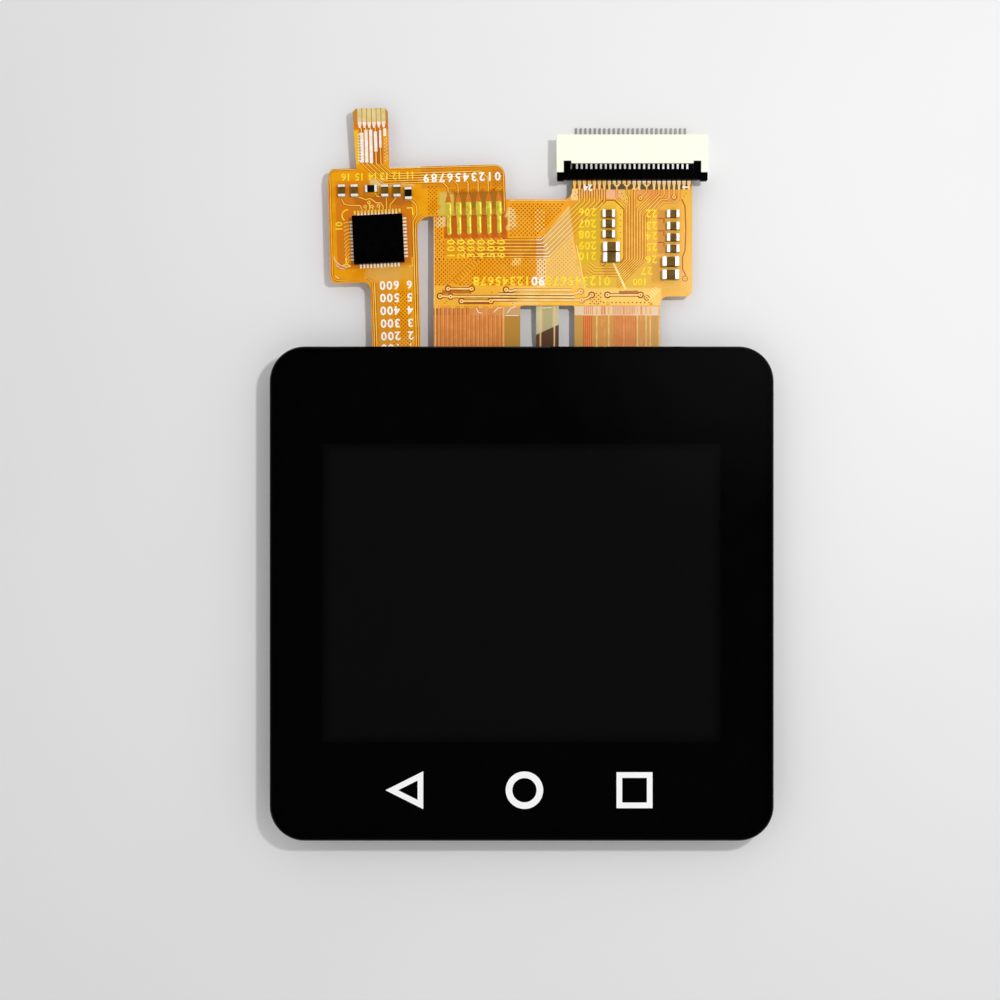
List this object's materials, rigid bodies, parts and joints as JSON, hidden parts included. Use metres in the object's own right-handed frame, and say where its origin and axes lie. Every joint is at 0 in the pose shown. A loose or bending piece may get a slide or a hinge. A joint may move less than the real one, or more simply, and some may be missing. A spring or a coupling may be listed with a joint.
{
  "type": "tft display module",
  "caption": "Small colour display module with a black touch lens, three key marks, two flexes with parts, and a slider-locked flex connector.",
  "frame": {"origin": "middle of the screen's window, on the rear face of the metal back cover", "axes": "+X across the screen to the right, +Y towards the flexes, +Z out of the screen"},
  "size_m": [0.052, 0.0761, 0.0034],
  "materials": {
    "lens_glass": "polished",
    "black_ink": "gloss",
    "white_ink": "satin",
    "clear_glue": "gloss",
    "sensor_film": "polished",
    "foam_tape": "matte",
    "polariser_film": "satin",
    "cell_glass": "polished",
    "cell_glue": "matte",
    "silicon": "satin",
    "optical_film": "satin",
    "guide_acrylic": "gloss",
    "reflector_film": "matte",
    "lamp_white": "satin",
    "frame_white": "satin",
    "cover_steel": "satin",
    "amber_flex": "gloss",
    "yellow_flex": "gloss",
    "stiffener_film": "satin",
    "capacitor_brown": "matte",
    "tinned_ends": "satin",
    "resistor_black": "matte",
    "chip_black": "matte",
    "gilt_pads": "polished",
    "solder": "satin",
    "housing_white": "satin",
    "slider_black": "satin",
    "contact_metal": "satin"
  },
  "bodies": {
    "module": {"cover_glass": "lens_glass", "ink_border": "black_ink", "key_marks": "white_ink", "sensor_adhesive": "clear_glue", "touch_sensor": "sensor_film", "panel_tape": "foam_tape", "front_polariser": "polariser_film", "colour_filter_glass": "cell_glass", "cell_seal": "cell_glue", "array_glass": "cell_glass", "display_driver_chip": "silicon", "rear_polariser": "polariser_film", "upper_prism_sheet": "optical_film", "lower_prism_sheet": "optical_film", "diffuser_sheet": "optical_film", "light_guide": "guide_acrylic", "reflector_sheet": "reflector_film", "backlight_flex": "stiffener_film", "backlight_leds": "lamp_white", "rim_tape": "foam_tape", "backlight_frame": "frame_white", "back_cover": "cover_steel", "display_flex": "amber_flex", "flex_stiffener": "stiffener_film", "small_capacitor_bodies": "capacitor_brown", "small_capacitor_terminals": "tinned_ends", "large_capacitor_bodies": "capacitor_brown", "large_capacitor_terminals": "tinned_ends", "touch_flex": "yellow_flex", "touch_tail_stiffener": "stiffener_film", "touch_tail_fingers": "gilt_pads", "touch_chip": "chip_black", "touch_chip_pads": "gilt_pads", "touch_capacitor_bodies": "capacitor_brown", "touch_resistor_bodies": "resistor_black", "touch_part_terminals": "tinned_ends", "solder_joints": "solder", "connector_housing": "housing_white", "connector_contacts": "contact_metal", "connector_anchor_tabs": "contact_metal"},
    "slider": {"connector_slider": "slider_black"}
  },
  "joints": [
    {"name": "slider_travel", "type": "slide", "parent": "module", "child": "slider", "axis": [0, -1, 0], "range_m": [0, 0.0012]}
  ]
}
